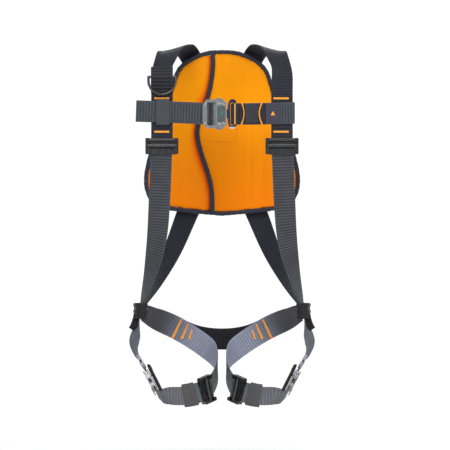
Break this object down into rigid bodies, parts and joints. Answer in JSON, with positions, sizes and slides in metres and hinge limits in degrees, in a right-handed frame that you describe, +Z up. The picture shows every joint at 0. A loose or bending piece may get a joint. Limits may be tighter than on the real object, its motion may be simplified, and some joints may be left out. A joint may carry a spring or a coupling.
{
  "type": "safety harness",
  "caption": "Full-body fall-arrest harness with padded back panel, ribbed webbing, leg loops, quick-release buckles and hinged rings.",
  "frame": {"origin": "on the wearer's trunk axis, level with the chest strap and midway between it and the back pad", "axes": "+Z up, the chest strap faces -Y, +X towards the right of the picture"},
  "size_m": [0.3908, 0.248, 0.7626],
  "materials": {
    "shell_fabric": "woven nylon, matt",
    "lining_fabric": "smooth bright orange lining, softly padded",
    "binding_tape": "folded and stitched edge tape",
    "webbing": "ribbed polyester webbing with a slight sheen",
    "dark_webbing": "ribbed polyester webbing, matt",
    "moulded_plastic": "satin black moulding",
    "sleeve_fabric": "smooth dark woven sleeve",
    "label_film": "plain stitched label",
    "black_metal": "glossy black coating",
    "steel": "brushed, lightly worn",
    "bright_rivet": "polished heads"
  },
  "bodies": {
    "harness": {"pad_rear_panel": "shell_fabric", "pad_left_flap": "lining_fabric", "pad_right_flap": "lining_fabric", "pad_binding": "binding_tape", "flap_binding": "binding_tape", "main_strap_left": "webbing", "main_strap_right": "webbing", "lower_strap_left": "webbing", "lower_strap_right": "webbing", "dorsal_plate": "moulded_plastic", "ring_keeper": "moulded_plastic", "front_adjuster_left": "black_metal", "front_adjuster_right": "black_metal", "chest_sleeve": "webbing", "chest_strap_right": "webbing", "chest_label": "label_film", "sternal_loop": "webbing", "sternal_slider": "moulded_plastic", "chest_tongue": "steel", "hip_link_left": "moulded_plastic", "hip_link_right": "moulded_plastic", "seat_strap": "dark_webbing", "thigh_strap_left": "webbing", "thigh_strap_right": "webbing", "thigh_sleeve_left": "sleeve_fabric", "thigh_sleeve_right": "sleeve_fabric", "thigh_adjuster_left": "black_metal", "thigh_adjuster_right": "black_metal", "thigh_base_left": "steel", "thigh_base_right": "steel", "thigh_cover_left": "steel", "thigh_cover_right": "steel", "thigh_roller_left": "black_metal", "thigh_roller_right": "black_metal", "thigh_rivets_left": "bright_rivet", "thigh_rivets_right": "bright_rivet", "hip_strap_left": "webbing", "hip_strap_right": "webbing", "thigh_guard_left": "sleeve_fabric", "thigh_guard_right": "sleeve_fabric"},
    "dorsal_ring": {"dorsal_ring": "steel"},
    "shoulder_ring": {"shoulder_ring": "black_metal"},
    "chest_half": {"chest_strap_left": "webbing", "chest_base": "steel", "chest_cover": "steel", "chest_roller": "black_metal", "chest_rivets": "bright_rivet"},
    "chest_lever_upper": {"chest_lever_upper": "steel"},
    "chest_lever_lower": {"chest_lever_lower": "steel"},
    "front_bar_left": {"front_bar_left": "black_metal"},
    "thigh_bar_left": {"thigh_bar_left": "black_metal"},
    "thigh_tongue_left": {"thigh_tongue_left": "steel"},
    "thigh_lever_front_left": {"thigh_lever_front_left": "steel"},
    "thigh_lever_rear_left": {"thigh_lever_rear_left": "steel"},
    "front_bar_right": {"front_bar_right": "black_metal"},
    "thigh_bar_right": {"thigh_bar_right": "black_metal"},
    "thigh_tongue_right": {"thigh_tongue_right": "steel"},
    "thigh_lever_front_right": {"thigh_lever_front_right": "steel"},
    "thigh_lever_rear_right": {"thigh_lever_rear_right": "steel"}
  },
  "joints": [
    {"name": "dorsal_ring_hinge", "type": "hinge", "parent": "harness", "child": "dorsal_ring", "pos_m": [0, 0.1205, -0.033], "axis": [1, 0, 0], "range_deg": [0, 165]},
    {"name": "shoulder_ring_hinge", "type": "hinge", "parent": "harness", "child": "shoulder_ring", "pos_m": [-0.125, -0.1075, 0.072], "axis": [-1, 0, 0], "range_deg": [0, 165]},
    {"name": "chest_release", "type": "slide", "parent": "harness", "child": "chest_half", "axis": [-1, 0, 0], "range_m": [0, 0.04]},
    {"name": "chest_lever_upper_press", "type": "slide", "parent": "chest_half", "child": "chest_lever_upper", "axis": [0, 0, -1], "range_m": [0, 0.003], "stiffness_N_per_m": 400, "springref_m": -0.001},
    {"name": "chest_lever_lower_press", "type": "slide", "parent": "chest_half", "child": "chest_lever_lower", "axis": [0, 0, 1], "range_m": [0, 0.003], "stiffness_N_per_m": 400, "springref_m": -0.001},
    {"name": "front_bar_left_slide", "type": "slide", "parent": "harness", "child": "front_bar_left", "axis": [0, 0, 1], "range_m": [0, 0.004]},
    {"name": "thigh_bar_left_slide", "type": "slide", "parent": "harness", "child": "thigh_bar_left", "axis": [0.6656, 0.6912, 0.2816], "range_m": [0, 0.004]},
    {"name": "thigh_tongue_left_slide", "type": "slide", "parent": "harness", "child": "thigh_tongue_left", "axis": [-0.434, 0.2411, 0.868], "range_m": [0, 0.028], "deforming": ["hip_strap_left"]},
    {"name": "thigh_lever_front_left_press", "type": "slide", "parent": "harness", "child": "thigh_lever_front_left", "axis": [0.1078, 0.9705, -0.2157], "range_m": [0, 0.003], "stiffness_N_per_m": 400, "springref_m": -0.001},
    {"name": "thigh_lever_rear_left_press", "type": "slide", "parent": "harness", "child": "thigh_lever_rear_left", "axis": [-0.1078, -0.9705, 0.2157], "range_m": [0, 0.003], "stiffness_N_per_m": 400, "springref_m": -0.001},
    {"name": "front_bar_right_slide", "type": "slide", "parent": "harness", "child": "front_bar_right", "axis": [0, 0, 1], "range_m": [0, 0.004]},
    {"name": "thigh_bar_right_slide", "type": "slide", "parent": "harness", "child": "thigh_bar_right", "axis": [-0.6656, 0.6912, 0.2816], "range_m": [0, 0.004]},
    {"name": "thigh_tongue_right_slide", "type": "slide", "parent": "harness", "child": "thigh_tongue_right", "axis": [0.434, 0.2411, 0.868], "range_m": [0, 0.028], "deforming": ["hip_strap_right"]},
    {"name": "thigh_lever_front_right_press", "type": "slide", "parent": "harness", "child": "thigh_lever_front_right", "axis": [-0.1078, 0.9705, -0.2157], "range_m": [0, 0.003], "stiffness_N_per_m": 400, "springref_m": -0.001},
    {"name": "thigh_lever_rear_right_press", "type": "slide", "parent": "harness", "child": "thigh_lever_rear_right", "axis": [0.1078, -0.9705, 0.2157], "range_m": [0, 0.003], "stiffness_N_per_m": 400, "springref_m": -0.001}
  ]
}
